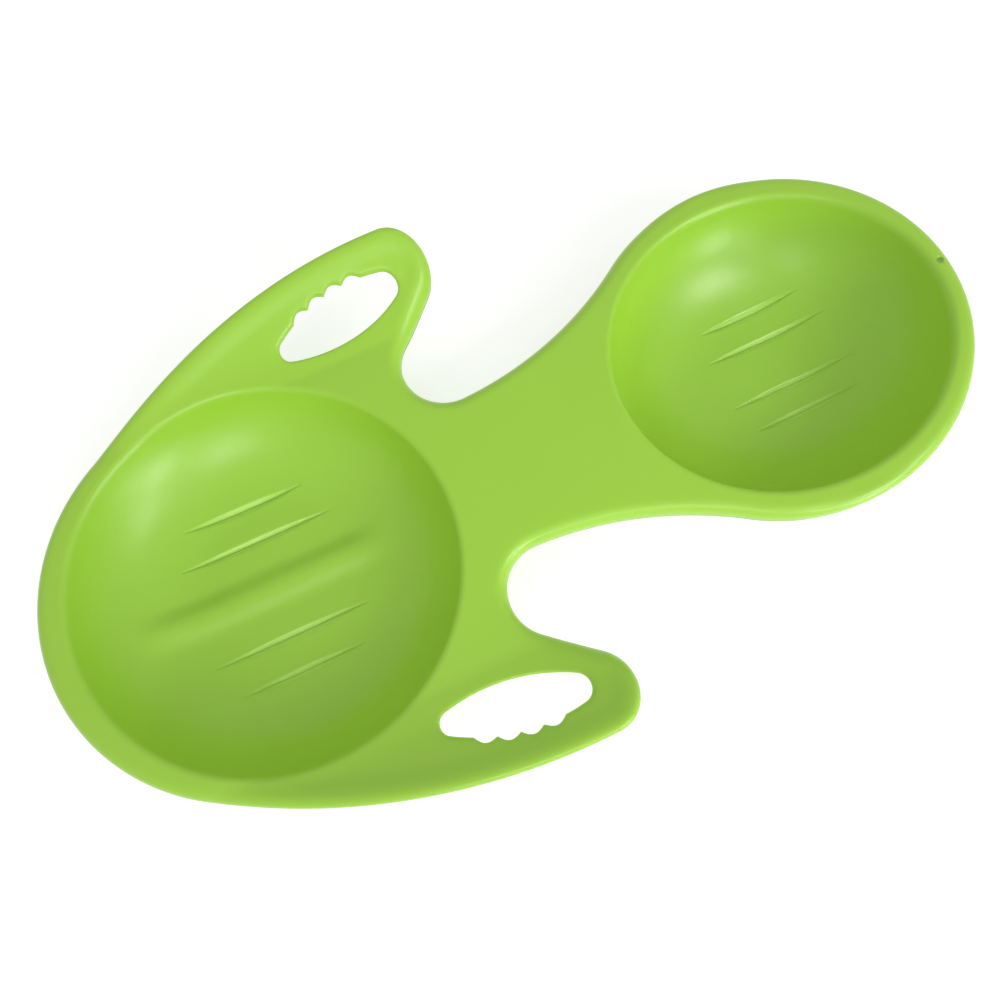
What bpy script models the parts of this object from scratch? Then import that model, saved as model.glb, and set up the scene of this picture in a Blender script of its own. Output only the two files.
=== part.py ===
"""Two-seat snow slider, moulded in one piece from plastic sheet.

Metres, +X towards the nose, +Y to the rider's left and +Z up. The origin is on the
ground under the middle of the slider's length, and the slider rests on its runners.
Plan positions are chained from the tail, so a larger seat moves what lies ahead of it.
"""

import math

import bmesh
import bpy
from mathutils import Vector
from mathutils.geometry import delaunay_2d_cdt

# Sheet, rolled rim and rolled edge of the finger slots
WALL = 0.003
RIM_RADIUS = 0.012
RIM_LIP = 0.006
SLOT_ROLL_RADIUS = 0.0035
SLOT_LIP = 0.001

# Rear seat, a round dish
REAR_DISH_RADIUS = 0.1795
REAR_WALL_ANGLE = math.radians(65)
TAIL_FLANGE = 0.027
TAIL_TAPER = 0.0105

# Front seat, an oval dish
FRONT_DISH_HALF_LENGTH = 0.1665
FRONT_DISH_HALF_WIDTH = 0.152
FRONT_WALL_ANGLE = math.radians(70)
NOSE_FLANGE = 0.020
FRONT_SIDE_FLANGE = 0.0255
DISH_RIM_FILLET = 0.007

# Waist between the seats
NECK_LENGTH = 0.191
NECK_WIDTH = 0.163
NECK_RADIUS = 0.374
NOTCH_RADIUS = 0.0437
NOTCH_AHEAD_OF_DISH = 0.0545

# Handle wings and their finger slots
SIDE_RADIUS = 0.644
HANDLE_AHEAD_OF_DISH = 0.0445
HANDLE_OUTSET = 0.043
GRIP_WIDTH = 0.0323
SLOT_FRONT_RADIUS = 0.013
SLOT_REAR_RADIUS = 0.0105
SLOT_SETBACK = 0.014
SLOT_INSET = 0.0091
SLOT_RUN = 0.110
SLOT_SLANT = 0.0192
SLOT_OUTER_RADIUS = 0.176
SLOT_INNER_RADIUS = 0.167
SCALLOP_PITCH = 0.0202
SCALLOP_DEPTH = 0.0045
SCALLOP_COUNT = 4

# Height of the flange over the ground, and the lift of the wings
TAIL_HEIGHT = 0.087
WAIST_HEIGHT = 0.078
NOSE_HEIGHT = 0.112
WING_LIFT = 0.050
WING_START = 0.165
WING_POWER = 1.35

# Runners, which are grooves in the seats, and the ridge between the rider's legs. Each
# runner is given by its distance from the axis, its length and its shift forward
RUNNER_WIDTH = 0.010
RUNNER_DEPTH = 0.0045
RUNNER_FLAT_SHARE = 0.45
RUNNER_FADE_SHARE = 0.40
REAR_RUNNERS = ((0.052, 0.162, -0.012), (0.0885, 0.126, -0.0125))
FRONT_RUNNERS = ((0.0285, 0.141, 0.032), (0.0615, 0.116, 0.0285))
RUNNER_SHOULDER = 0.004
RIDGE_LENGTH = 0.280
RIDGE_SETBACK = 0.016
RIDGE_WIDTH = 0.050
RIDGE_HEIGHT = 0.008
RIDGE_FADE = 0.050

# Tow hole at the nose
TOW_HOLE_DIAMETER = 0.007
TOW_HOLE_INSET = 0.0125

# Fineness of the facets
ARC_STEP = math.radians(11)
EDGE_STEP = 0.026
RIM_ROWS = 4
SLOT_ROWS = 2
SCALLOP_STEPS = 6
RING_STEPS = 26
BOWL_RINGS = 6
FILL_STEP = 0.026
HOLE_SIDES = 24

PLASTIC_COLOUR = (0.31, 0.58, 0.05, 1.0)

FLOOR_TOP = WALL + RUNNER_DEPTH
LENGTH = TAIL_FLANGE + 2 * REAR_DISH_RADIUS + NECK_LENGTH + 2 * FRONT_DISH_HALF_LENGTH + NOSE_FLANGE
TAIL_X = -LENGTH / 2
NOSE_X = LENGTH / 2
REAR_DISH_X = TAIL_X + TAIL_FLANGE + REAR_DISH_RADIUS
RIDGE_X = REAR_DISH_X - RIDGE_SETBACK
FRONT_DISH_X = NOSE_X - NOSE_FLANGE - FRONT_DISH_HALF_LENGTH
NOTCH_X = REAR_DISH_X + REAR_DISH_RADIUS + NOTCH_AHEAD_OF_DISH
NOTCH_CENTRE = Vector((NOTCH_X, NECK_WIDTH / 2 + NOTCH_RADIUS))
HANDLE_TIP_RADIUS = GRIP_WIDTH + SLOT_FRONT_RADIUS - SLOT_INSET
HANDLE_CENTRE = Vector(
    (REAR_DISH_X + REAR_DISH_RADIUS + HANDLE_AHEAD_OF_DISH, REAR_DISH_RADIUS + HANDLE_OUTSET)
)
HALF_WIDTH = HANDLE_CENTRE.y + HANDLE_TIP_RADIUS
SLOT_FRONT_CENTRE = HANDLE_CENTRE - Vector((SLOT_SETBACK, SLOT_INSET))
SLOT_REAR_CENTRE = SLOT_FRONT_CENTRE - Vector((SLOT_RUN, SLOT_SLANT))


def circles_meet(centre_a, radius_a, centre_b, radius_b, side):
    """Where two circles cross, to the left (side 1) or right (side -1) of the line from a to b."""
    along = centre_b - centre_a
    distance = along.length
    foot = (radius_a**2 - radius_b**2 + distance**2) / (2 * distance)
    rise = math.sqrt(radius_a**2 - foot**2)
    along.normalize()
    return centre_a + along * foot + Vector((-along.y, along.x)) * rise * side


def cross_tangent(centre_a, radius_a, centre_b, radius_b):
    """Ends of the line that leaves circle a and joins circle b on its other side."""
    along = centre_b - centre_a
    turn = math.acos((radius_a + radius_b) / along.length)
    angle = math.atan2(along.y, along.x) + turn
    way = Vector((math.cos(angle), math.sin(angle)))
    return centre_a + way * radius_a, centre_b - way * radius_b


def arc_stations(centre, radius, start, end, clockwise, step=EDGE_STEP):
    """Points with their outward normals along an arc, without its last point."""
    from_angle = math.atan2(start.y - centre.y, start.x - centre.x)
    to_angle = math.atan2(end.y - centre.y, end.x - centre.x)
    sweep = (from_angle - to_angle if clockwise else to_angle - from_angle) % math.tau
    count = math.ceil(max(sweep / ARC_STEP, sweep * radius / step))
    stations = []
    for i in range(count):
        angle = from_angle + sweep * i / count * (-1 if clockwise else 1)
        way = Vector((math.cos(angle), math.sin(angle)))
        stations.append((centre + way * radius, way if clockwise else -way))
    return stations


def line_stations(start, end):
    """The same along a straight stretch whose outer side is on its left."""
    along = end - start
    count = math.ceil(along.length / EDGE_STEP)
    outward = Vector((-along.y, along.x)).normalized()
    return [(start + along * i / count, outward) for i in range(count)]


def nose_station(angle):
    """A point of the oval outline round the front seat, with its outward normal."""
    half_length = FRONT_DISH_HALF_LENGTH + NOSE_FLANGE
    half_width = FRONT_DISH_HALF_WIDTH + FRONT_SIDE_FLANGE
    point = Vector((FRONT_DISH_X + half_length * math.cos(angle), half_width * math.sin(angle)))
    outward = Vector((half_width * math.cos(angle), half_length * math.sin(angle)))
    return point, outward.normalized()


def neck_joins_nose_at():
    """The oval's angle where the neck's arc touches it and also wraps the notch's circle."""

    def miss(angle):
        point, outward = nose_station(angle)
        reach = (point + outward * NECK_RADIUS - NOTCH_CENTRE).length
        return reach - (NECK_RADIUS - NOTCH_RADIUS)

    low, high = math.radians(80), math.radians(175)
    for _ in range(60):
        middle = (low + high) / 2
        if miss(middle) > 0:
            low = middle
        else:
            high = middle
    return low


def outline_stations():
    """Half of the outline, from the tail round the handle and the notch to the nose."""
    tail_centre = Vector((REAR_DISH_X - TAIL_TAPER, 0))
    tail_radius = tail_centre.x - TAIL_X
    side_centre = circles_meet(
        tail_centre, SIDE_RADIUS - tail_radius, HANDLE_CENTRE, SIDE_RADIUS - HANDLE_TIP_RADIUS, -1
    )
    side_start = side_centre + (tail_centre - side_centre).normalized() * SIDE_RADIUS
    side_end = side_centre + (HANDLE_CENTRE - side_centre).normalized() * SIDE_RADIUS
    back_start, back_end = cross_tangent(HANDLE_CENTRE, HANDLE_TIP_RADIUS, NOTCH_CENTRE, NOTCH_RADIUS)
    joint_angle = neck_joins_nose_at()
    neck_end, outward = nose_station(joint_angle)
    neck_centre = neck_end + outward * NECK_RADIUS
    neck_start = neck_centre + (NOTCH_CENTRE - neck_centre).normalized() * NECK_RADIUS
    stations = arc_stations(tail_centre, tail_radius, Vector((TAIL_X, 0)), side_start, True)
    stations += arc_stations(side_centre, SIDE_RADIUS, side_start, side_end, True)
    stations += arc_stations(HANDLE_CENTRE, HANDLE_TIP_RADIUS, side_end, back_start, True)
    stations += line_stations(back_start, back_end)
    stations += arc_stations(NOTCH_CENTRE, NOTCH_RADIUS, back_end, neck_start, False)
    stations += arc_stations(neck_centre, NECK_RADIUS, neck_start, neck_end, False)
    steps = math.ceil(joint_angle * NOSE_X / 2 / EDGE_STEP)
    stations += [nose_station(joint_angle * (1 - i / steps)) for i in range(steps + 1)]
    return stations


def slot_stations():
    """The finger slot, counter-clockwise: points, normals into the opening, depth of scallop."""
    outer_centre = circles_meet(
        SLOT_FRONT_CENTRE,
        SLOT_OUTER_RADIUS - SLOT_FRONT_RADIUS,
        SLOT_REAR_CENTRE,
        SLOT_OUTER_RADIUS - SLOT_REAR_RADIUS,
        1,
    )
    inner_centre = circles_meet(
        SLOT_FRONT_CENTRE,
        SLOT_INNER_RADIUS - SLOT_FRONT_RADIUS,
        SLOT_REAR_CENTRE,
        SLOT_INNER_RADIUS - SLOT_REAR_RADIUS,
        -1,
    )
    outer_front = outer_centre + (SLOT_FRONT_CENTRE - outer_centre).normalized() * SLOT_OUTER_RADIUS
    outer_rear = outer_centre + (SLOT_REAR_CENTRE - outer_centre).normalized() * SLOT_OUTER_RADIUS
    inner_front = inner_centre + (SLOT_FRONT_CENTRE - inner_centre).normalized() * SLOT_INNER_RADIUS
    inner_rear = inner_centre + (SLOT_REAR_CENTRE - inner_centre).normalized() * SLOT_INNER_RADIUS
    chord = (outer_front - outer_rear).length
    run = 2 * SLOT_OUTER_RADIUS * math.asin(chord / (2 * SLOT_OUTER_RADIUS))
    scallops = min(SCALLOP_COUNT, int(run / SCALLOP_PITCH))
    steps = scallops * SCALLOP_STEPS
    margin = (run - scallops * SCALLOP_PITCH) / 2
    first = math.atan2(outer_front.y - outer_centre.y, outer_front.x - outer_centre.x)
    stations = [(outer_front, (outer_centre - outer_front).normalized(), 0.0)]
    for i in range(steps + 1):
        along = i / SCALLOP_STEPS
        angle = first + (margin + along * SCALLOP_PITCH) / SLOT_OUTER_RADIUS
        way = Vector((math.cos(angle), math.sin(angle)))
        scoop = SCALLOP_DEPTH * abs(math.sin(math.pi * along))
        stations.append((outer_centre + way * SLOT_OUTER_RADIUS, -way, scoop))
    plain = arc_stations(SLOT_REAR_CENTRE, SLOT_REAR_RADIUS, outer_rear, inner_rear, False)
    plain += arc_stations(inner_centre, SLOT_INNER_RADIUS, inner_rear, inner_front, False, EDGE_STEP / 2)
    plain += arc_stations(SLOT_FRONT_CENTRE, SLOT_FRONT_RADIUS, inner_front, outer_front, False)
    return stations + [(point, outward, 0.0) for point, outward in plain]


def flange_height(x, y):
    """Top of the flange before the dishes sink into it: a rocker with lifted wings."""
    height = TAIL_HEIGHT * (x - NOTCH_X) * (x - NOSE_X) / ((TAIL_X - NOTCH_X) * (TAIL_X - NOSE_X))
    height += WAIST_HEIGHT * (x - TAIL_X) * (x - NOSE_X) / ((NOTCH_X - TAIL_X) * (NOTCH_X - NOSE_X))
    height += NOSE_HEIGHT * (x - TAIL_X) * (x - NOTCH_X) / ((NOSE_X - TAIL_X) * (NOSE_X - NOTCH_X))
    outboard = max(0.0, (abs(y) - WING_START) / (HALF_WIDTH - WING_START))
    return height + WING_LIFT * outboard**WING_POWER


class Dish:
    """A seat: an oval rim with a fillet, a bowl that is steepest below it, and a level floor."""

    def __init__(self, centre_x, half_length, half_width, wall_angle, runners):
        self.centre_x = centre_x
        self.half_length = half_length
        self.half_width = half_width
        self.runners = runners
        self.depth = flange_height(centre_x, 0) - FLOOR_TOP
        self.wall_angle = wall_angle
        self.fillet = DISH_RIM_FILLET
        self.fillet_out = self.fillet * math.tan(wall_angle / 2)
        self.fillet_in = self.fillet_out * math.cos(wall_angle)
        self.bowl = self.depth / (1 - math.cos(wall_angle)) - self.fillet
        self.bowl_in = self.fillet_in + self.bowl * math.sin(wall_angle)

    def rim_reach(self, angle):
        """Distance from the centre to the rim in one direction."""
        across = self.half_width * math.cos(angle)
        along = self.half_length * math.sin(angle)
        return self.half_length * self.half_width / math.hypot(across, along)

    def inset(self, x, y):
        """Distance inside the rim, negative outside it."""
        angle = math.atan2(y, x - self.centre_x)
        return self.rim_reach(angle) - math.hypot(x - self.centre_x, y)

    def share(self, x, y):
        """How far down from the flange to the floor, from 0 to 1."""
        inset = self.inset(x, y)
        if inset <= -self.fillet_out:
            return 0.0
        if inset < self.fillet_in:
            drop = self.fillet - math.sqrt(self.fillet**2 - (inset + self.fillet_out) ** 2)
        elif inset < self.bowl_in:
            rise = self.bowl - math.sqrt(self.bowl**2 - (self.bowl_in - inset) ** 2)
            drop = self.depth - rise
        else:
            drop = self.depth
        return drop / self.depth

    def ring(self, inset):
        """Half a ring of points at one distance inside the rim."""
        points = []
        for i in range(RING_STEPS + 1):
            angle = math.pi * i / RING_STEPS
            reach = self.rim_reach(angle) - inset
            points.append(Vector((self.centre_x + reach * math.cos(angle), reach * math.sin(angle))))
        points[0].y = points[-1].y = 0.0
        return points

    def ring_insets(self):
        """Where the rings lie, from the flange to the floor."""
        insets = [-self.fillet_out, (self.fillet_in - self.fillet_out) / 2]
        for i in range(BOWL_RINGS + 1):
            tilt = self.wall_angle * (1 - i / BOWL_RINGS)
            insets.append(self.bowl_in - self.bowl * math.sin(tilt))
        return insets


REAR_DISH = Dish(REAR_DISH_X, REAR_DISH_RADIUS, REAR_DISH_RADIUS, REAR_WALL_ANGLE, REAR_RUNNERS)
FRONT_DISH = Dish(
    FRONT_DISH_X,
    FRONT_DISH_HALF_LENGTH,
    FRONT_DISH_HALF_WIDTH,
    FRONT_WALL_ANGLE,
    FRONT_RUNNERS,
)


def runner_half_width(along):
    """Half width of a groove, pointed at both ends; along runs from -1 to 1."""
    return RUNNER_WIDTH / 2 * (1 - along**2)


def groove_depth(dish, x, y):
    """Depth of the seat's grooves at a point."""
    for offset, length, shift in dish.runners:
        along = (x - dish.centre_x - shift) / (length / 2)
        if abs(along) >= 1:
            continue
        across = abs(abs(y) - offset) / runner_half_width(along)
        side = (1 - across) / (1 - RUNNER_FLAT_SHARE)
        fade = (1 - abs(along)) / RUNNER_FADE_SHARE
        if side > 0:
            return RUNNER_DEPTH * min(side, 1) * min(fade, 1)
    return 0.0


def ridge_height(x, y):
    """Height of the soft ridge on the axis of the rear seat."""
    across = 2 * y / RIDGE_WIDTH
    from_end = (RIDGE_LENGTH / 2 - abs(x - RIDGE_X)) / RIDGE_FADE
    if abs(across) >= 1 or from_end <= 0:
        return 0.0
    fade = min(from_end, 1)
    return RIDGE_HEIGHT * math.cos(math.pi / 2 * across) ** 2 * fade**2 * (3 - 2 * fade)


def top_height(x, y):
    """Height of the sheet's top surface."""
    height = flange_height(x, y)
    for dish in (REAR_DISH, FRONT_DISH):
        height += (FLOOR_TOP - height) * dish.share(x, y)
        height -= groove_depth(dish, x, y)
    return height + ridge_height(x, y)


def runner_lines(dish):
    """Lines along each groove: the edges of its bottom, its two sides and the sheet beside it."""
    lines = []
    steps = 10
    rows = [(share, 0) for share in (1, RUNNER_FLAT_SHARE, -RUNNER_FLAT_SHARE, -1)]
    rows += [(1, RUNNER_SHOULDER), (-1, -RUNNER_SHOULDER)]
    for offset, length, shift in dish.runners:
        middle = dish.centre_x + shift
        for share, beside in rows:
            line = []
            for i in range(steps + 1):
                along = 2 * i / steps - 1
                y = offset + share * runner_half_width(along) + beside
                line.append(Vector((middle + along * length / 2, y)))
            lines.append(line)
    return lines


def near_runner(dish, point, margin):
    """Whether a point lies on or close to a groove."""
    for offset, length, shift in dish.runners:
        beyond = abs(point.x - dish.centre_x - shift) - length / 2
        beside = abs(point.y - offset) - RUNNER_WIDTH / 2
        if beyond < margin and beside < margin:
            return True
    return False


def near_ridge(point, margin):
    """Whether a point lies on or close to the ridge."""
    beyond = abs(point.x - RIDGE_X) - RIDGE_LENGTH / 2
    return beyond < margin and point.y < RIDGE_WIDTH / 2 + margin


def ridge_lines():
    """Lines along the ridge, from its axis to its edge."""
    lines = []
    stations = 14
    for row in range(4):
        y = RIDGE_WIDTH / 2 * row / 3
        xs = [RIDGE_X + RIDGE_LENGTH * (i / stations - 0.5) for i in range(stations + 1)]
        lines.append([Vector((x, y)) for x in xs])
    return lines


def inside(point, polygon):
    """Whether a point lies in a polygon."""
    found = False
    for i, corner in enumerate(polygon):
        before = polygon[i - 1]
        if (corner.y > point.y) != (before.y > point.y):
            crossing = corner.x + (point.y - corner.y) * (before.x - corner.x) / (before.y - corner.y)
            if point.x < crossing:
                found = not found
    return found


class Plan:
    """Points and lines of the flat pattern, for the triangulation."""

    def __init__(self):
        self.points = []
        self.edges = []

    def add_line(self, line, closed=False):
        """Adds a run of points joined by lines, and returns the number of its first point."""
        first = len(self.points)
        self.points += line
        self.edges += [(first + i, first + i + 1) for i in range(len(line) - 1)]
        if closed:
            self.edges.append((len(self.points) - 1, first))
        return first

    def add_run_if(self, line, keep):
        """Adds the stretches of a line whose points are wanted."""
        stretch = []
        for point in line + [None]:
            if point is not None and keep(point):
                stretch.append(point)
            elif stretch:
                self.add_line(stretch)
                stretch = []

    def crowded(self, point, distance):
        """Whether another point lies close by."""
        return any((point - other).length < distance for other in self.points)


def flat_pattern(rim_start, slot_start):
    """The plan of half the sheet inside its rolled edges, with every feature line."""
    plan = Plan()
    plan.add_line(rim_start)
    plan.add_line(slot_start, closed=True)
    margin = 1.5 * RUNNER_SHOULDER

    def on_sheet(point):
        return point.y <= 0 or (inside(point, rim_start) and not inside(point, slot_start))

    def plain_rear(point):
        clear = not near_runner(REAR_DISH, point, margin) and not near_ridge(point, RUNNER_SHOULDER)
        return clear and on_sheet(point)

    def plain_front(point):
        return not near_runner(FRONT_DISH, point, margin) and on_sheet(point)

    for dish, keep in ((REAR_DISH, plain_rear), (FRONT_DISH, plain_front)):
        for line in runner_lines(dish):
            plan.add_line(line)
        for inset in dish.ring_insets():
            plan.add_run_if(dish.ring(inset), keep)
    for line in ridge_lines():
        plan.add_line(line)
    rows = math.ceil(HALF_WIDTH / (FILL_STEP * math.sqrt(0.75)))
    columns = math.ceil(LENGTH / FILL_STEP)
    for row in range(rows):
        for column in range(columns):
            x = TAIL_X + (column + (row % 2) / 2) * FILL_STEP
            point = Vector((x, row * FILL_STEP * math.sqrt(0.75)))
            if on_sheet(point) and TAIL_X + RIM_RADIUS < x < NOSE_X - RIM_RADIUS:
                if not plan.crowded(point, FILL_STEP * 0.6):
                    plan.points.append(point)
    axis = sorted((i for i, p in enumerate(plan.points) if p.y == 0), key=lambda i: plan.points[i].x)
    plan.edges += list(zip(axis, axis[1:]))
    return plan


def sheet_mesh():
    """Half of the top surface, open at the middle: flat pattern, rolled rim and rolled slot."""
    outline = outline_stations()
    slot = slot_stations()
    rim_start = [point - outward * RIM_RADIUS for point, outward in outline]
    rim_start[0].y = rim_start[-1].y = 0.0

    def slot_row(turn):
        """The slot's edge part-way round its roll; the scallops fade into the sheet."""
        inset = SLOT_ROLL_RADIUS * (1 - math.sin(turn))
        grown = 0.4 + 0.6 * math.sin(turn)
        return [point - outward * (scoop * grown + inset) for point, outward, scoop in slot]

    slot_start = slot_row(0)
    plan = flat_pattern(rim_start, slot_start)
    points, _, triangles, sources, _, _ = delaunay_2d_cdt(plan.points, plan.edges, [], 0, 1e-6)
    placed = {}
    for number, originals in enumerate(sources):
        for original in originals:
            placed[original] = number
    mesh = bmesh.new()
    verts = [mesh.verts.new((p.x, p.y, top_height(p.x, p.y))) for p in points]
    for triangle in triangles:
        middle = sum((points[i] for i in triangle), Vector((0, 0))) / 3
        if middle.y > 0 and inside(middle, rim_start) and not inside(middle, slot_start):
            mesh.faces.new([verts[i] for i in triangle])

    def add_roll(first, rows, closed):
        """Strips from the flat sheet's edge through each further row of points."""
        count = len(rows[0])
        previous = [verts[placed[first + i]] for i in range(count)]
        for row in rows:
            current = [mesh.verts.new(p) for p in row]
            for i in range(count if closed else count - 1):
                following = (i + 1) % count
                corners = (previous[i], previous[following], current[following], current[i])
                mesh.faces.new(corners)
            previous = current

    rim_rows = []
    for step in range(1, RIM_ROWS + 1):
        turn = math.pi / 2 * step / RIM_ROWS
        row = []
        for point, outward in outline:
            place = point - outward * RIM_RADIUS * (1 - math.sin(turn))
            drop = RIM_RADIUS * (1 - math.cos(turn))
            row.append(Vector((place.x, max(place.y, 0.0), top_height(place.x, place.y) - drop)))
        row[0].y = row[-1].y = 0.0
        rim_rows.append(row)
    rim_rows.append([point - Vector((0, 0, RIM_LIP)) for point in rim_rows[-1]])
    add_roll(0, rim_rows, False)

    slot_rows = []
    for step in range(1, SLOT_ROWS + 1):
        turn = math.pi / 2 * step / SLOT_ROWS
        drop = SLOT_ROLL_RADIUS * (1 - math.cos(turn))
        places = zip(slot_row(turn), slot_start)
        slot_rows.append([Vector((p.x, p.y, top_height(q.x, q.y) - drop)) for p, q in places])
    slot_rows.append([point - Vector((0, 0, SLOT_LIP)) for point in slot_rows[-1]])
    add_roll(len(rim_start), slot_rows, True)

    loose = [vert for vert in mesh.verts if not vert.link_faces]
    bmesh.ops.delete(mesh, geom=loose, context="VERTS")
    return mesh


def plastic_material():
    """Glossy lime green moulded plastic."""
    material = bpy.data.materials.new("lime_green_plastic")
    material.use_nodes = True
    shader = material.node_tree.nodes["Principled BSDF"]
    shader.inputs["Base Color"].default_value = PLASTIC_COLOUR
    shader.inputs["Roughness"].default_value = 0.3
    shader.inputs["Metallic"].default_value = 0.0
    return material


def tow_hole_cutter(collection):
    """A pin through the nose flange that cuts the tow hole, with no corner on the middle plane."""
    hole_x = NOSE_X - TOW_HOLE_INSET
    middle = Vector((hole_x, 0, top_height(hole_x, 0)))
    bpy.ops.mesh.primitive_cylinder_add(
        vertices=HOLE_SIDES,
        radius=TOW_HOLE_DIAMETER / 2,
        depth=8 * WALL,
        location=middle,
        rotation=(0, 0, math.pi / HOLE_SIDES),
    )
    cutter = bpy.context.object
    cutter.name = "tow_hole_cutter"
    cutter.hide_render = True
    cutter.display_type = "WIRE"
    for holder in list(cutter.users_collection):
        holder.objects.unlink(cutter)
    collection.objects.link(cutter)
    return cutter


def sled_body(collection, cutters):
    """The whole moulding: half a sheet, mirrored, thickened and drilled."""
    surface = sheet_mesh()
    data = bpy.data.meshes.new("sled_body")
    surface.to_mesh(data)
    surface.free()
    data.shade_smooth()
    body = bpy.data.objects.new("sled_body", data)
    collection.objects.link(body)
    body.data.materials.append(plastic_material())

    mirror = body.modifiers.new("other_side", "MIRROR")
    mirror.use_axis = (False, True, False)
    mirror.merge_threshold = 0.0001

    wall = body.modifiers.new("wall", "SOLIDIFY")
    wall.thickness = WALL
    wall.offset = -1
    wall.use_even_offset = True
    wall.use_quality_normals = True

    hole = body.modifiers.new("tow_hole", "BOOLEAN")
    hole.operation = "DIFFERENCE"
    hole.object = tow_hole_cutter(cutters)
    return body


for old in list(bpy.data.objects):
    bpy.data.objects.remove(old)
slider = bpy.data.collections.new("snow_slider")
cutting_tools = bpy.data.collections.new("cutters")
for new_collection in (slider, cutting_tools):
    bpy.context.scene.collection.children.link(new_collection)
sled_body(slider, cutting_tools)
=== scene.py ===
"""The looks of a moulded snow slider for two riders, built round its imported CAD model."""

import math

import bmesh
import bpy
from mathutils import Matrix, Vector
from mathutils.geometry import delaunay_2d_cdt
from mathutils.kdtree import KDTree


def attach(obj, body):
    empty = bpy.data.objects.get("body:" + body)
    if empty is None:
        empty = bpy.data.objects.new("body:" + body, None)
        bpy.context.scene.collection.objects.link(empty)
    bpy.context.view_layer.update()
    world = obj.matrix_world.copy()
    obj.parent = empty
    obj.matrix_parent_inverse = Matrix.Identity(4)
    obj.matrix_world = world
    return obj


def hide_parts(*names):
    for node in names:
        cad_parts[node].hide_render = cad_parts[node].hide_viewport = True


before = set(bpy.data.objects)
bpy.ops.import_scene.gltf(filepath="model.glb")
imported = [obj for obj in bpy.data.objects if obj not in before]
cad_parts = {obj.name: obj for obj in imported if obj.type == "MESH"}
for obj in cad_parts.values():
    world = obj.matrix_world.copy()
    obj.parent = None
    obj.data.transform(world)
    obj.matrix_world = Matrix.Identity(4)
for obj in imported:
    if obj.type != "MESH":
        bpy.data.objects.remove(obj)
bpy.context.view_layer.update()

# Sizes in metres, the same as the solid's. X runs from the tail to the nose, and the ground
# is at z = 0. First the plan: the round rear seat, the oval front seat, the flange round
# them, the neck, the grips with their slots, and the tow hole.
rear_radius = 0.1795
tail_flange = 0.027
tail_taper = 0.0105
front_half_length = 0.1665
front_half_width = 0.152
nose_flange = 0.020
side_flange = 0.0255
side_radius = 0.644
neck_length = 0.191
neck_width = 0.163
neck_radius = 0.374
notch_radius = 0.0437
notch_ahead = 0.0545
handle_ahead = 0.0445
handle_beside = 0.043
grip_width = 0.0323
slot_front_radius = 0.013
slot_rear_radius = 0.0105
slot_setback = 0.014
slot_inset = 0.0091
slot_run = 0.110
slot_slant = 0.0192
slot_outer_radius = 0.176
slot_inner_radius = 0.167
scallop_pitch = 0.0202
scallop_depth = 0.0045
scallop_count = 4
tow_hole_radius = 0.0035
tow_hole_inset = 0.0125

# Sections and heights. A runner's three numbers are its offset from the axis, its length, and
# how far it lies ahead of its seat's middle.
rim_radius = 0.012
rim_lip = 0.006
slot_roll = 0.0035
slot_lip = 0.001
wall = 0.003
tail_height = 0.087
waist_height = 0.078
nose_height = 0.112
rim_fillet = 0.007
rear_wall_angle = math.radians(65)
front_wall_angle = math.radians(70)
runner_width = 0.010
runner_depth = 0.0045
rear_runners = ((0.052, 0.162, -0.012), (0.0885, 0.126, -0.0125))
front_runners = ((0.0285, 0.141, 0.032), (0.0615, 0.116, 0.0285))

# Places that follow from the sizes.
length = tail_flange + 2 * rear_radius + neck_length + 2 * front_half_length + nose_flange
tail_x = -length / 2
nose_x = length / 2
rear_x = tail_x + tail_flange + rear_radius
front_x = nose_x - nose_flange - front_half_length
notch_centre = Vector((rear_x + rear_radius + notch_ahead, neck_width / 2 + notch_radius))
waist_x = notch_centre.x
handle_radius = grip_width + slot_front_radius - slot_inset
handle_centre = Vector((rear_x + rear_radius + handle_ahead, rear_radius + handle_beside))
half_width = handle_centre.y + handle_radius
slot_front = handle_centre - Vector((slot_setback, slot_inset))
slot_rear = slot_front - Vector((slot_run, slot_slant))


# Camera. The photograph looks down steeply from the slider's right, near its waist, with a
# wide lens, so the tail and the nose lean apart. Turn and lens were found from the outline,
# the finger slots and the rims of the seats.
def add_object(name, data):
    """A new object in the scene."""
    thing = bpy.data.objects.new(name, data)
    bpy.context.scene.collection.objects.link(thing)
    return thing


aim = Vector((-0.0312, -0.0205, 0.0378))
turn = math.radians(25.06)
tilt = math.radians(75)
away = 0.747
looking = Vector((math.sin(turn) * math.cos(tilt), math.cos(turn) * math.cos(tilt), -math.sin(tilt)))
picture_right = Vector((math.cos(turn), -math.sin(turn), 0))
picture_up = picture_right.cross(looking)
camera = add_object("camera", bpy.data.cameras.new("camera"))
camera.data.sensor_width = 36
camera.data.lens = 27.1
camera.data.clip_start = 0.01
facing = Matrix((picture_right, picture_up, -looking)).transposed().to_4x4()
camera.matrix_world = Matrix.Translation(aim - looking * away) @ facing
bpy.context.scene.camera = camera

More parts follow.
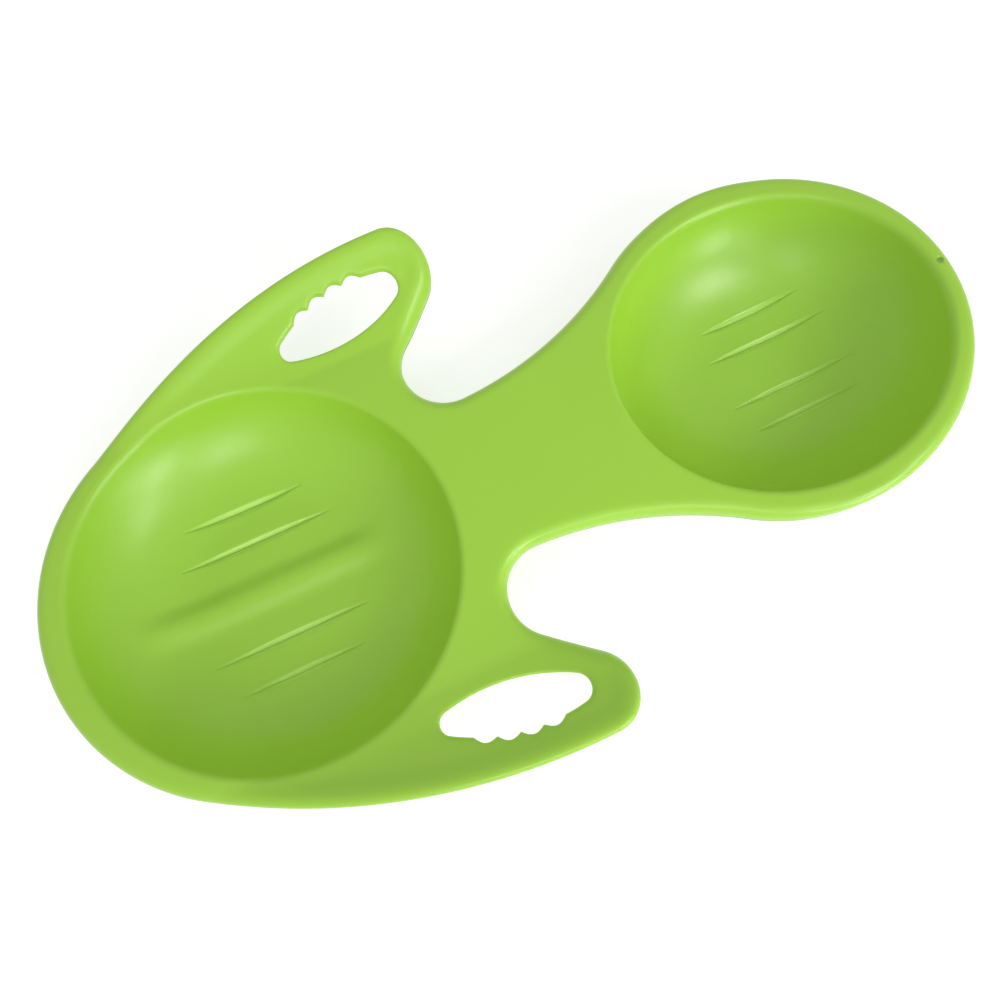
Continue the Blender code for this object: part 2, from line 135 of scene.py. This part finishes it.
# Floor. An opal light table, white all over, so only a faint shadow shows round the seats
# and the rolled rim of the slider mirrors white from below.
table_reach = 6.0
table_gap = 0.0004
table_corners = [(table_reach * i, table_reach * j, 0) for i, j in ((-1, -1), (1, -1), (1, 1), (-1, 1))]
floor_mesh = bpy.data.meshes.new("light_table")
floor_mesh.from_pydata(table_corners, [], [(0, 1, 2, 3)])
floor = add_object("light_table", floor_mesh)
floor.location.z = -table_gap
opal = bpy.data.materials.new("opal_table")
opal.use_nodes = True
opal_shader = opal.node_tree.nodes["Principled BSDF"]
opal_shader.inputs["Base Color"].default_value = (0.55, 0.55, 0.55, 1)
opal_shader.inputs["Roughness"].default_value = 0.9
opal_shader.inputs["Specular IOR Level"].default_value = 0.1
opal_shader.inputs["Emission Color"].default_value = (1, 1, 1, 1)
opal_shader.inputs["Emission Strength"].default_value = 0.57
floor_mesh.materials.append(opal)

# Studio light. White surroundings fill every side, and a wide panel high at the picture's
# foot lights the flat parts. Two softboxes with grids point at each seat from the lower
# right: the low one lays its highlight on the bowl's upper left wall, and the higher one
# catches the near sides of the runner grooves.
lit_height = 0.05
world = bpy.data.worlds.new("studio")
world.use_nodes = True
world.node_tree.nodes["Background"].inputs["Color"].default_value = (1, 1, 1, 1)
world.node_tree.nodes["Background"].inputs["Strength"].default_value = 0.78
bpy.context.scene.world = world
bpy.context.scene.view_settings.view_transform = "Standard"


def soft_panel(name, over_x, bearing, rise, distance, size, power, spread=50):
    """A softbox facing a point over the axis. Angles are in degrees, bearing as in the picture."""
    data = bpy.data.lights.new(name, "AREA")
    data.shape = "RECTANGLE"
    data.size, data.size_y = size
    data.energy = power
    data.spread = math.radians(spread)
    panel = add_object(name, data)
    level_up = Vector((0, 0, 1)).cross(picture_right)
    level = picture_right * math.cos(math.radians(bearing)) + level_up * math.sin(math.radians(bearing))
    way = level * math.cos(math.radians(rise)) + Vector((0, 0, math.sin(math.radians(rise))))
    panel.location = Vector((over_x, 0, lit_height)) + way * distance
    panel.rotation_mode = "QUATERNION"
    panel.rotation_quaternion = way.to_track_quat("Z", "Y")


soft_panel("overhead", 0, bearing=-75, rise=60, distance=2.2, size=(1.9, 1.9), power=1.2, spread=180)
soft_panel("rear_seat_low", rear_x, bearing=-43, rise=20, distance=1.7, size=(0.32, 0.22), power=0.45)
soft_panel("rear_seat_high", rear_x, bearing=-76, rise=37, distance=1.8, size=(0.75, 0.60), power=0.65)
soft_panel("front_seat_low", front_x, bearing=-45, rise=11, distance=1.7, size=(0.32, 0.18), power=0.5)
soft_panel("front_seat_high", front_x, bearing=-34, rise=39, distance=1.8, size=(0.75, 0.60), power=1.15)

# Flat pattern of the moulding. The real slider is one sheet of lime green plastic, formed
# over a mould and trimmed. This lays out half of its plan: the outline from tail to nose,
# whose rim is rolled down later, and the finger slot with its four scallops. The steps set
# how far apart points lie, and nose_reach, about the oval's half length, how many it gets.
edge_step = 0.0032
sharpest_turn = math.radians(7)
scallop_step = 0.0013
scallop_start = 0.4
nose_reach = 0.186


def circles_meet(centre_a, radius_a, centre_b, radius_b, side):
    """Where two circles cross, to the left (side 1) or right (side -1) of the line from a to b."""
    along = centre_b - centre_a
    distance = along.length
    foot = (radius_a**2 - radius_b**2 + distance**2) / (2 * distance)
    rise = math.sqrt(radius_a**2 - foot**2)
    along.normalize()
    return centre_a + along * foot + Vector((-along.y, along.x)) * rise * side


def arc_stations(centre, radius, start, end, clockwise):
    """Points with their outward normals along an arc, without its last point."""
    from_angle = math.atan2(start.y - centre.y, start.x - centre.x)
    to_angle = math.atan2(end.y - centre.y, end.x - centre.x)
    sweep = (from_angle - to_angle if clockwise else to_angle - from_angle) % math.tau
    count = max(math.ceil(sweep * radius / edge_step), math.ceil(sweep / sharpest_turn))
    stations = []
    for i in range(count):
        angle = from_angle + sweep * i / count * (-1 if clockwise else 1)
        way = Vector((math.cos(angle), math.sin(angle)))
        stations.append((centre + way * radius, way if clockwise else -way))
    return stations


def nose_station(angle):
    """A point of the oval outline round the front seat, with its outward normal."""
    along = front_half_length + nose_flange
    across = front_half_width + side_flange
    outward = Vector((across * math.cos(angle), along * math.sin(angle))).normalized()
    return Vector((front_x + along * math.cos(angle), across * math.sin(angle))), outward


def neck_end_angle():
    """Where on the oval an arc of the neck's radius touches both it and the notch, by halving."""
    low, high = math.radians(80), math.radians(175)
    for _ in range(60):
        middle = (low + high) / 2
        point, outward = nose_station(middle)
        if (point + outward * neck_radius - notch_centre).length > neck_radius - notch_radius:
            low = middle
        else:
            high = middle
    return low


def outline_stations():
    """Half of the outline, from the tail round the handle and the notch to the nose."""
    tail_centre = Vector((rear_x - tail_taper, 0))
    tail_radius = tail_centre.x - tail_x
    side_centre = circles_meet(
        tail_centre, side_radius - tail_radius, handle_centre, side_radius - handle_radius, -1
    )
    side_start = side_centre + (tail_centre - side_centre).normalized() * side_radius
    side_end = side_centre + (handle_centre - side_centre).normalized() * side_radius
    between = notch_centre - handle_centre
    cross = math.acos((handle_radius + notch_radius) / between.length)
    cross += math.atan2(between.y, between.x)
    way = Vector((math.cos(cross), math.sin(cross)))
    back_start = handle_centre + way * handle_radius
    back_end = notch_centre - way * notch_radius
    neck_angle = neck_end_angle()
    neck_end, outward = nose_station(neck_angle)
    neck_centre = neck_end + outward * neck_radius
    neck_start = neck_centre + (notch_centre - neck_centre).normalized() * neck_radius
    stations = arc_stations(tail_centre, tail_radius, Vector((tail_x, 0)), side_start, True)
    stations += arc_stations(side_centre, side_radius, side_start, side_end, True)
    stations += arc_stations(handle_centre, handle_radius, side_end, back_start, True)
    steps = math.ceil((back_end - back_start).length / edge_step)
    stations += [(back_start.lerp(back_end, i / steps), way) for i in range(steps)]
    stations += arc_stations(notch_centre, notch_radius, back_end, neck_start, False)
    stations += arc_stations(neck_centre, neck_radius, neck_start, neck_end, False)
    steps = math.ceil(neck_angle * nose_reach / edge_step)
    stations += [nose_station(neck_angle * (1 - i / steps)) for i in range(steps + 1)]
    return stations


def slot_side(radius, side):
    """The centre and the front and rear ends of the arc that bounds one side of the slot."""
    to_front, to_rear = radius - slot_front_radius, radius - slot_rear_radius
    centre = circles_meet(slot_front, to_front, slot_rear, to_rear, side)
    front_end = centre + (slot_front - centre).normalized() * radius
    rear_end = centre + (slot_rear - centre).normalized() * radius
    return centre, front_end, rear_end


def slot_stations():
    """The finger slot, counter-clockwise: points, normals into the opening, depth of scallop."""
    outer_centre, outer_front, outer_rear = slot_side(slot_outer_radius, 1)
    inner_centre, inner_front, inner_rear = slot_side(slot_inner_radius, -1)
    chord = (outer_front - outer_rear).length
    run = 2 * slot_outer_radius * math.asin(chord / (2 * slot_outer_radius))
    margin = (run - scallop_count * scallop_pitch) / 2
    first = math.atan2(outer_front.y - outer_centre.y, outer_front.x - outer_centre.x)
    stations = []
    steps = math.ceil(run / scallop_step)
    for i in range(steps):
        along = run * i / steps
        angle = first + along / slot_outer_radius
        way = Vector((math.cos(angle), math.sin(angle)))
        phase = (along - margin) / scallop_pitch
        scoop = scallop_depth * abs(math.sin(math.pi * phase)) if 0 < phase < scallop_count else 0.0
        stations.append((outer_centre + way * slot_outer_radius, -way, scoop))
    plain = arc_stations(slot_rear, slot_rear_radius, outer_rear, inner_rear, False)
    plain += arc_stations(inner_centre, slot_inner_radius, inner_rear, inner_front, False)
    plain += arc_stations(slot_front, slot_front_radius, inner_front, outer_front, False)
    return stations + [(point, outward, 0.0) for point, outward in plain]


def inside(point, polygon):
    """Whether a point lies in a polygon."""
    found = False
    for i, corner in enumerate(polygon):
        before = polygon[i - 1]
        if (corner.y > point.y) != (before.y > point.y):
            crossing = corner.x + (point.y - corner.y) * (before.x - corner.x) / (before.y - corner.y)
            if point.x < crossing:
                found = not found
    return found


outline = outline_stations()
slot = slot_stations()
rim_start = [point - outward * rim_radius for point, outward in outline]
rim_start[0].y = rim_start[-1].y = 0.0
slot_start = [point - outward * (scallop_start * scoop + slot_roll) for point, outward, scoop in slot]
points = rim_start + slot_start
first_slot = len(rim_start)
edges = [(i, i + 1) for i in range(first_slot - 1)]
edges += [(first_slot + i, first_slot + (i + 1) % len(slot_start)) for i in range(len(slot_start))]

# Weave of the pattern. It is closer where the form bends, round the seats' rims and along
# the runner grooves, whose rows grow fewer towards their points. An even triangular grid
# fills the rest.
rim_rings = 8
rim_spread = 1.15
runner_step = 0.0026
four_rows_from = 0.0022
two_rows_from = 0.0010
shoulder_rows = (0.0016, 0.0036)
fill_step = 0.0036
fill_clearance = 0.62
fill_row = math.sqrt(0.75)
seats = (
    (rear_x, rear_radius, rear_radius, rear_wall_angle, rear_runners),
    (front_x, front_half_length, front_half_width, front_wall_angle, front_runners),
)
features = []
for middle_x, half_long, half_wide, wall_angle, runners in seats:
    reach_out = rim_fillet * math.tan(wall_angle / 2)
    count = round(math.pi * half_long / edge_step)
    for ring in range(rim_rings):
        inset = reach_out * (ring * 2 / (rim_rings - 1) - 1) * rim_spread
        for i in range(count + 1):
            angle = math.pi * i / count
            squeezed = math.hypot(half_wide * math.cos(angle), half_long * math.sin(angle))
            reach = half_long * half_wide / squeezed - inset
            across = reach * math.sin(angle) if 0 < i < count else 0.0
            features.append(Vector((middle_x + reach * math.cos(angle), across)))
    for offset, long, forward in runners:
        steps = round(long / runner_step)
        for i in range(1, steps):
            along = 2 * i / steps - 1
            half = runner_width / 2 * (1 - along**2)
            rows = 4 if half > four_rows_from else 2 if half > two_rows_from else 1
            asides = [half * row / rows for row in range(-rows, rows + 1)]
            asides += [side * (half + beside) for side in (-1, 1) for beside in shoulder_rows]
            for aside in asides:
                features.append(Vector((middle_x + forward + along * long / 2, offset + aside)))
keep = KDTree(len(points) + len(features))
for i, point in enumerate(points + features):
    keep.insert((point.x, point.y, 0), i)
keep.balance()
points += features
for row in range(math.ceil(half_width / (fill_step * fill_row))):
    for column in range(math.ceil(length / fill_step)):
        x = tail_x + (column + row % 2 / 2) * fill_step
        y = row * fill_step * fill_row
        if keep.find((x, y, 0))[2] > fill_step * fill_clearance:
            points.append(Vector((x, y)))
on_axis = sorted((i for i, p in enumerate(points) if p.y == 0), key=lambda i: points[i].x)
edges += zip(on_axis, on_axis[1:])

# The sheet's mesh: the pattern laid out flat, then strips for the rolled rim and for the
# rolled edge of the slot. Each point remembers how far its edge has rolled down, and how far
# in from the outline it lies.
rim_steps = 8
slot_steps = 4
merge_within = 1e-6
spots, _, triangles, sources, _, _ = delaunay_2d_cdt(points, edges, [], 0, merge_within)
placed = {}
for number, originals in enumerate(sources):
    for original in originals:
        placed[original] = number
sheet = bmesh.new()
rolled_down = sheet.verts.layers.float.new("rolled_down")
from_edge = sheet.verts.layers.float.new("from_edge")
verts = [sheet.verts.new((spot.x, spot.y, 0)) for spot in spots]
for triangle in triangles:
    middle = (spots[triangle[0]] + spots[triangle[1]] + spots[triangle[2]]) / 3
    if middle.y > 0 and inside(middle, rim_start) and not inside(middle, slot_start):
        sheet.faces.new([verts[i] for i in triangle])


def roll_edge(first, rows, closed):
    """Strips of sheet from one edge through further rows of (place, drop)."""
    count = len(rows[0])
    previous = [verts[placed[first + i]] for i in range(count)]
    for row in rows:
        current = []
        for place, drop in row:
            vert = sheet.verts.new((place.x, place.y, 0))
            vert[rolled_down] = drop
            current.append(vert)
        for i in range(count if closed else count - 1):
            following = (i + 1) % count
            sheet.faces.new((previous[i], previous[following], current[following], current[i]))
        previous = current


rim_rows = []
for step in range(1, rim_steps + 2):
    bend = math.radians(90) * min(step, rim_steps) / rim_steps
    drop = rim_radius * (1 - math.cos(bend)) + (rim_lip if step > rim_steps else 0)
    row = []
    for point, outward in outline:
        place = point - outward * rim_radius * (1 - math.sin(bend))
        place.y = max(place.y, 0.0)
        row.append((place, drop))
    row[0][0].y = row[-1][0].y = 0.0
    rim_rows.append(row)
roll_edge(0, rim_rows, False)
slot_rows = []
for step in range(1, slot_steps + 2):
    bend = math.radians(90) * min(step, slot_steps) / slot_steps
    drop = slot_roll * (1 - math.cos(bend)) + (slot_lip if step > slot_steps else 0)
    grown = scallop_start + (1 - scallop_start) * math.sin(bend)
    inset = slot_roll * (1 - math.sin(bend))
    slot_rows.append([(point - outward * (scoop * grown + inset), drop) for point, outward, scoop in slot])
roll_edge(first_slot, slot_rows, True)
bmesh.ops.delete(sheet, geom=[vert for vert in sheet.verts if not vert.link_faces], context="VERTS")
trim_line = KDTree(len(outline))
for i, (point, _) in enumerate(outline):
    trim_line.insert((point.x, point.y, 0), i)
trim_line.balance()
for vert in sheet.verts:
    vert[from_edge] = trim_line.find(vert.co)[2]
sheet_mesh = bpy.data.meshes.new("sheet")
sheet.to_mesh(sheet_mesh)
sheet.free()
sheet_mesh.shade_smooth()
moulding = add_object("moulding", sheet_mesh)


# Plastic. Polyethylene coloured right through, glossy from the mould, in one even lime
# green. Close up the gloss is a little uneven and the skin has a very fine orange peel. The
# flanks of the runner grooves get a painted highlight, a paler lime that stands in for light
# caught on their sides. The running faces underneath are scuffed paler and duller, in
# streaks along the slider.
class Wire:
    """One output of a node. Arithmetic on wires adds Math nodes to their tree."""

    def __init__(self, tree, socket=None):
        self.tree = tree
        self.socket = socket

    def add(self, kind, settings=(), inputs=(), output=0):
        """Adds a node: its settings first, then values or wires for its sockets."""
        node = self.tree.nodes.new(kind)
        for name, value in dict(settings).items():
            setattr(node, name, value)
        for key, value in dict(inputs).items():
            if isinstance(value, Wire):
                self.tree.links.new(value.socket, node.inputs[key])
            else:
                node.inputs[key].default_value = value
        return Wire(self.tree, node.outputs[output])

    def math(self, operation, *values):
        """A Math node on this wire and up to two more values."""
        return self.add("ShaderNodeMath", {"operation": operation}, dict(enumerate((self,) + values)))

    def held(self):
        """This wire kept between 0 and 1."""
        return self.math("MAXIMUM", 0.0).math("MINIMUM", 1.0)

    def __add__(self, other):
        return self.math("ADD", other)

    __radd__ = __add__

    def __sub__(self, other):
        return self.math("SUBTRACT", other)

    def __rsub__(self, other):
        return self.add("ShaderNodeMath", {"operation": "SUBTRACT"}, {0: other, 1: self})

    def __mul__(self, other):
        return self.math("MULTIPLY", other)

    __rmul__ = __mul__

    def __truediv__(self, other):
        return self.math("DIVIDE", other)

    def __pow__(self, other):
        return self.math("POWER", other)

    def __abs__(self):
        return self.math("ABSOLUTE")


deep_lime = (0.270, 0.510, 0.031, 1)
bright_lime = (0.285, 0.525, 0.037, 1)
# The pale lime serves both the real scuffs underneath and the painted highlight on the groove flanks.
scuff_and_highlight_lime = (0.48, 0.74, 0.16, 1)
mould_gloss = 0.28
gloss_cloud = 0.05
skin_flow = 0.5
groove_highlight_strength = 0.45
groove_highlight_mottle = 0.5
scuff_top = 0.0028
scuff_fade = 0.0016
scuff_paleness = 0.7
scuff_dulling = 0.28
streak_floor = 0.38
streak_contrast = 4.0
plastic =bpy.data.materials.new("lime_plastic")
plastic.use_nodes = True
shader = plastic.node_tree.nodes["Principled BSDF"]
shader.inputs["IOR"].default_value = 1.51
shader.inputs["Specular IOR Level"].default_value = 0.5
paint = Wire(plastic.node_tree)


def noise(vector, scale, detail, roughness):
    """The value of a noise texture."""
    inputs = {"Vector": vector, "Scale": scale, "Detail": detail, "Roughness": roughness}
    return paint.add("ShaderNodeTexNoise", (), inputs)


def blend(share, first, second):
    """A blend of two colours, each a wire or a plain colour."""
    inputs = {"Factor": share, 6: first, 7: second}
    return paint.add("ShaderNodeMix", {"data_type": "RGBA"}, inputs, output=2)


where = paint.add("ShaderNodeTexCoord", output="Object")
clouds = noise(where, 9.0, 3.0, 0.5)
flow = noise(where, 70.0, 4.0, 0.65)
peel = noise(where, 620.0, 2.0, 0.6)
drawn_out = paint.add("ShaderNodeMapping", (), {"Vector": where, "Scale": (14, 420, 420)})
streaks = noise(drawn_out, 1.0, 4.0, 0.6)
above_snow = paint.add("ShaderNodeSeparateXYZ", (), {"Vector": where}, output=2)
running_face = ((scuff_top - above_snow) / scuff_fade).held()
scuffs = running_face * ((streaks - streak_floor) * streak_contrast).held()
# Painted highlight: a paler lime on the groove flanks, standing in for light caught on them.
painted_groove_highlight = paint.add("ShaderNodeAttribute", {"attribute_name": "painted_groove_highlight"}, output=2)
groove_highlight_paint = painted_groove_highlight * (groove_highlight_strength + flow * groove_highlight_mottle)
# Real scuffs on the running faces, and the painted highlight on the groove flanks.
scuffs_and_painted_highlight = (scuffs * scuff_paleness).math("MAXIMUM", groove_highlight_paint)
colour = blend(scuffs_and_painted_highlight, blend(clouds, deep_lime, bright_lime), scuff_and_highlight_lime)
gloss = mould_gloss + clouds * gloss_cloud + flow * gloss_cloud + scuffs * scuff_dulling
relief = peel + flow * skin_flow
skin = paint.add("ShaderNodeBump", (), {"Strength": 0.05, "Distance": 0.0002, "Height": relief})
for name, wire in {"Base Color": colour, "Roughness": gloss, "Normal": skin}.items():
    plastic.node_tree.links.new(wire.socket, shader.inputs[name])


# The mould. Geometry Nodes press the flat sheet to height: the flange with its lifted
# wings and the shallow hollow round each slot, the two seats sunk into it, and the ridge
# between the rear rider's legs.
def start_press(name, sizes):
    """A modifier group with an input for each size: its builder, its sizes, what comes in."""
    group = bpy.data.node_groups.new(name, "GeometryNodeTree")
    group.is_modifier = True
    group.interface.new_socket("Geometry", in_out="INPUT", socket_type="NodeSocketGeometry")
    group.interface.new_socket("Geometry", in_out="OUTPUT", socket_type="NodeSocketGeometry")
    for size_name in sizes:
        group.interface.new_socket(size_name, in_out="INPUT", socket_type="NodeSocketFloat")
    entry = group.nodes.new("NodeGroupInput")
    wires = {size_name: Wire(group, entry.outputs[size_name]) for size_name in sizes}
    return Wire(group), wires, Wire(group, entry.outputs["Geometry"])


def end_press(press, geometry):
    """Ends a press with one real mesh in the plastic."""
    single = press.add("GeometryNodeRealizeInstances", (), {"Geometry": geometry})
    coloured = press.add("GeometryNodeSetMaterial", (), {"Geometry": single, "Material": plastic})
    way_out = press.tree.nodes.new("NodeGroupOutput")
    press.tree.links.new(coloured.socket, way_out.inputs["Geometry"])


def places(press):
    """Each point's x and its distance from the slider's axis."""
    position = press.add("GeometryNodeInputPosition")
    at_x = press.add("ShaderNodeSeparateXYZ", (), {"Vector": position}, output=0)
    return at_x, abs(press.add("ShaderNodeSeparateXYZ", (), {"Vector": position}, output=1))


def stored(press, name):
    """A number that each point remembers."""
    return press.add("GeometryNodeInputNamedAttribute", {"data_type": "FLOAT"}, {"Name": name})


def lifted(press, geometry, rise):
    """The geometry with each point lifted."""
    offset = press.add("ShaderNodeCombineXYZ", (), {"Z": rise})
    return press.add("GeometryNodeSetPosition", (), {"Geometry": geometry, "Offset": offset})


def ease(share):
    """A wire clamped to 0 to 1 and smoothed at both ends."""
    kept = share.held()
    return kept * kept * (3.0 - kept * 2.0)


least_radius = 1e-5
least_squeezed = 1e-7
mould_sizes = {
    "Tail Height": tail_height,
    "Waist Height": waist_height,
    "Nose Height": nose_height,
    "Wing Lift": 0.050,
    "Wing Start": 0.165,
    "Wing Power": 1.35,
    "Grip Hollow": 0.0025,
    "Grip Hollow Start": 0.168,
    "Grip Hollow Fade": 0.028,
    "Grip Bar Width": 0.012,
    "Grip Bar Flank": 0.014,
    "Floor Top": wall + runner_depth,
    "Seat Rim Fillet": rim_fillet,
    "Rear Seat Radius": rear_radius,
    "Front Seat Half Length": front_half_length,
    "Front Seat Half Width": front_half_width,
    "Ridge Length": 0.280,
    "Ridge Setback": 0.016,
    "Ridge Width": 0.050,
    "Ridge Height": 0.008,
    "Ridge Fade": 0.050,
}
mould, size, flat_sheet = start_press("mould_press", mould_sizes)
along_x, off_axis = places(mould)


def flange_height(at_x):
    """Height of the flange at a wire or a number: a parabola through tail, waist and nose."""
    from_tail, from_waist, from_nose = at_x - tail_x, at_x - waist_x, at_x - nose_x
    height = size["Tail Height"] * (from_waist * from_nose / ((tail_x - waist_x) * (tail_x - nose_x)))
    height += size["Waist Height"] * (from_tail * from_nose / ((waist_x - tail_x) * (waist_x - nose_x)))
    height += size["Nose Height"] * (from_tail * from_waist / ((nose_x - tail_x) * (nose_x - waist_x)))
    return height


outboard = ((off_axis - size["Wing Start"]) / (half_width - size["Wing Start"])).math("MAXIMUM", 0.0)
height = flange_height(along_x) + size["Wing Lift"] * outboard ** size["Wing Power"]
inside_bar = ease((stored(mould, "from_edge") - size["Grip Bar Width"]) / size["Grip Bar Flank"])
beside_seat = ease((off_axis - size["Grip Hollow Start"]) / size["Grip Hollow Fade"])
height -= size["Grip Hollow"] * (inside_bar * beside_seat)
seat_plans = (
    (rear_x, size["Rear Seat Radius"], size["Rear Seat Radius"], rear_wall_angle),
    (front_x, size["Front Seat Half Length"], size["Front Seat Half Width"], front_wall_angle),
)
for middle_x, half_long, half_wide, wall_angle in seat_plans:
    ahead = along_x - middle_x
    radius = (ahead * ahead + off_axis * off_axis).math("SQRT").math("MAXIMUM", least_radius)
    squeezed = ((half_wide * ahead) ** 2 + (half_long * off_axis) ** 2).math("SQRT")
    inset = half_long * half_wide * radius / squeezed.math("MAXIMUM", least_squeezed) - radius
    depth = flange_height(middle_x) - size["Floor Top"]
    fillet_out = size["Seat Rim Fillet"] * math.tan(wall_angle / 2)
    fillet_in = fillet_out * math.cos(wall_angle)
    bowl = depth / (1 - math.cos(wall_angle)) - size["Seat Rim Fillet"]
    bowl_in = fillet_in + bowl * math.sin(wall_angle)
    on_fillet = (inset + fillet_out).math("MAXIMUM", 0.0)
    fillet_drop = size["Seat Rim Fillet"] - (size["Seat Rim Fillet"] ** 2 - on_fillet**2).math("SQRT")
    in_bowl = (bowl_in - inset).math("MAXIMUM", 0.0)
    bowl_drop = depth - bowl + (bowl**2 - in_bowl**2).math("SQRT")
    past_fillet = inset.math("GREATER_THAN", fillet_in)
    drop = fillet_drop * (1 - past_fillet) + bowl_drop * past_fillet
    height += (size["Floor Top"] - height) * (drop / depth)
ridge_across = (off_axis / size["Ridge Width"] * 2).math("MINIMUM", 1.0)
ridge_section = (ridge_across * (math.pi / 2)).math("COSINE") ** 2
ridge_end = size["Ridge Length"] * 0.5 - abs(along_x - rear_x + size["Ridge Setback"])
height += size["Ridge Height"] * ridge_section * ease(ridge_end / size["Ridge Fade"])
end_press(mould, lifted(mould, flat_sheet, height - stored(mould, "rolled_down")))

# Runners. Four in each seat, pressed after the rest of the moulding: a narrow pointed groove
# on top, whose flanks carry a painted highlight, and a rounded rib with a level foot below.
# Across a groove 1 is its edge: the flanks slope evenly, and the middle half goes deeper.
# The painted highlight is strongest at half depth.
flank_share = 0.56
middle_width = 0.5
lip_round = 0.14
lip_scale = 1.150
end_fade = 1.25
least_half = 1e-5
runner_sizes = {
    "Runner Width": runner_width,
    "Runner Depth": runner_depth,
    "Rib Margin": wall,
    "Foot Share": 0.45,
}
former, rib_size, thick_sheet = start_press("runner_press", runner_sizes)
along_x, off_axis = places(former)
below = stored(former, "underside")
pushes = []
groove_highlight_masks = []
for middle_x, _, _, _, runners in seats:
    for offset, long, forward in runners:
        along = abs((along_x - middle_x - forward) / (long / 2))
        half = (rib_size["Runner Width"] * (1 - along**2) * 0.5).math("MAXIMUM", least_half)
        aside = abs(off_axis - offset)
        across = (aside / half).math("MINIMUM", 1.0)
        lip = ((across**2 + lip_round**2).math("SQRT") - lip_round) * lip_scale
        middle_part = (1 - lip / middle_width).math("MAXIMUM", 0.0) ** 2
        groove = flank_share * (1 - lip) + (1 - flank_share) * middle_part
        rib = ease((1 - aside / (half + rib_size["Rib Margin"])) / (1 - rib_size["Foot Share"]))
        fade = (end_fade - along**2 * end_fade).held()
        on_top = 1 - below
        half_deep = (groove * (1 - groove) * 4.0).math("MAXIMUM", 0.0)
        pushes.append(fade * (groove * on_top + rib * below))
        # Mask for the painted highlight on the groove flanks, strongest at half depth.
        groove_highlight_masks.append(fade * half_deep * on_top)
pressed = lifted(former, thick_sheet, sum(pushes) * rib_size["Runner Depth"] * -1.0)
# Stores where the groove flanks get their painted highlight.
marked = former.add(
    "GeometryNodeStoreNamedAttribute",
    {"data_type": "FLOAT", "domain": "POINT"},
    {"Geometry": pressed, "Name": "painted_groove_highlight", "Value": sum(groove_highlight_masks)},
)
end_press(former, marked)

# Pressing. The half sheet is mirrored, pressed to height, given its wall and drilled for
# the tow cord, and the runners are pressed last. The result is kept as a plain mesh in the
# moulding's place.
drill_length = 0.03
drill_sides = 32


def use_press(press, sizes):
    """Adds a press to the moulding's modifiers and sets its sizes."""
    modifier = moulding.modifiers.new(press.tree.name, "NODES")
    modifier.node_group = press.tree
    for item in press.tree.interface.items_tree:
        if item.name in sizes:
            modifier[item.identifier] = sizes[item.name]


moulding.vertex_groups.new(name="underside")
mirror = moulding.modifiers.new("other_side", "MIRROR")
mirror.use_axis = (False, True, False)
mirror.merge_threshold = 0.0001
use_press(mould, mould_sizes)
thick = moulding.modifiers.new("wall", "SOLIDIFY")
thick.thickness = wall
thick.offset = -1
thick.use_quality_normals = True
thick.shell_vertex_group = "underside"
drill_form = bmesh.new()
bmesh.ops.create_cone(
    drill_form,
    cap_ends=True,
    segments=drill_sides,
    radius1=tow_hole_radius,
    radius2=tow_hole_radius,
    depth=drill_length,
)
drill_mesh = bpy.data.meshes.new("tow_hole_drill")
drill_form.to_mesh(drill_mesh)
drill_form.free()
drill = add_object("tow_hole_drill", drill_mesh)
drill.location = (nose_x - tow_hole_inset, 0, nose_height)
drilled = moulding.modifiers.new("tow_hole", "BOOLEAN")
drilled.operation = "DIFFERENCE"
drilled.solver = "EXACT"
drilled.object = drill
use_press(former, runner_sizes)
finished = bpy.data.meshes.new_from_object(moulding.evaluated_get(bpy.context.evaluated_depsgraph_get()))
moulding.modifiers.clear()
moulding.data = finished
finished.name = "moulding"
bpy.data.meshes.remove(drill_mesh)
bpy.data.meshes.remove(sheet_mesh)
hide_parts("sled_body")
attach(moulding, "root")
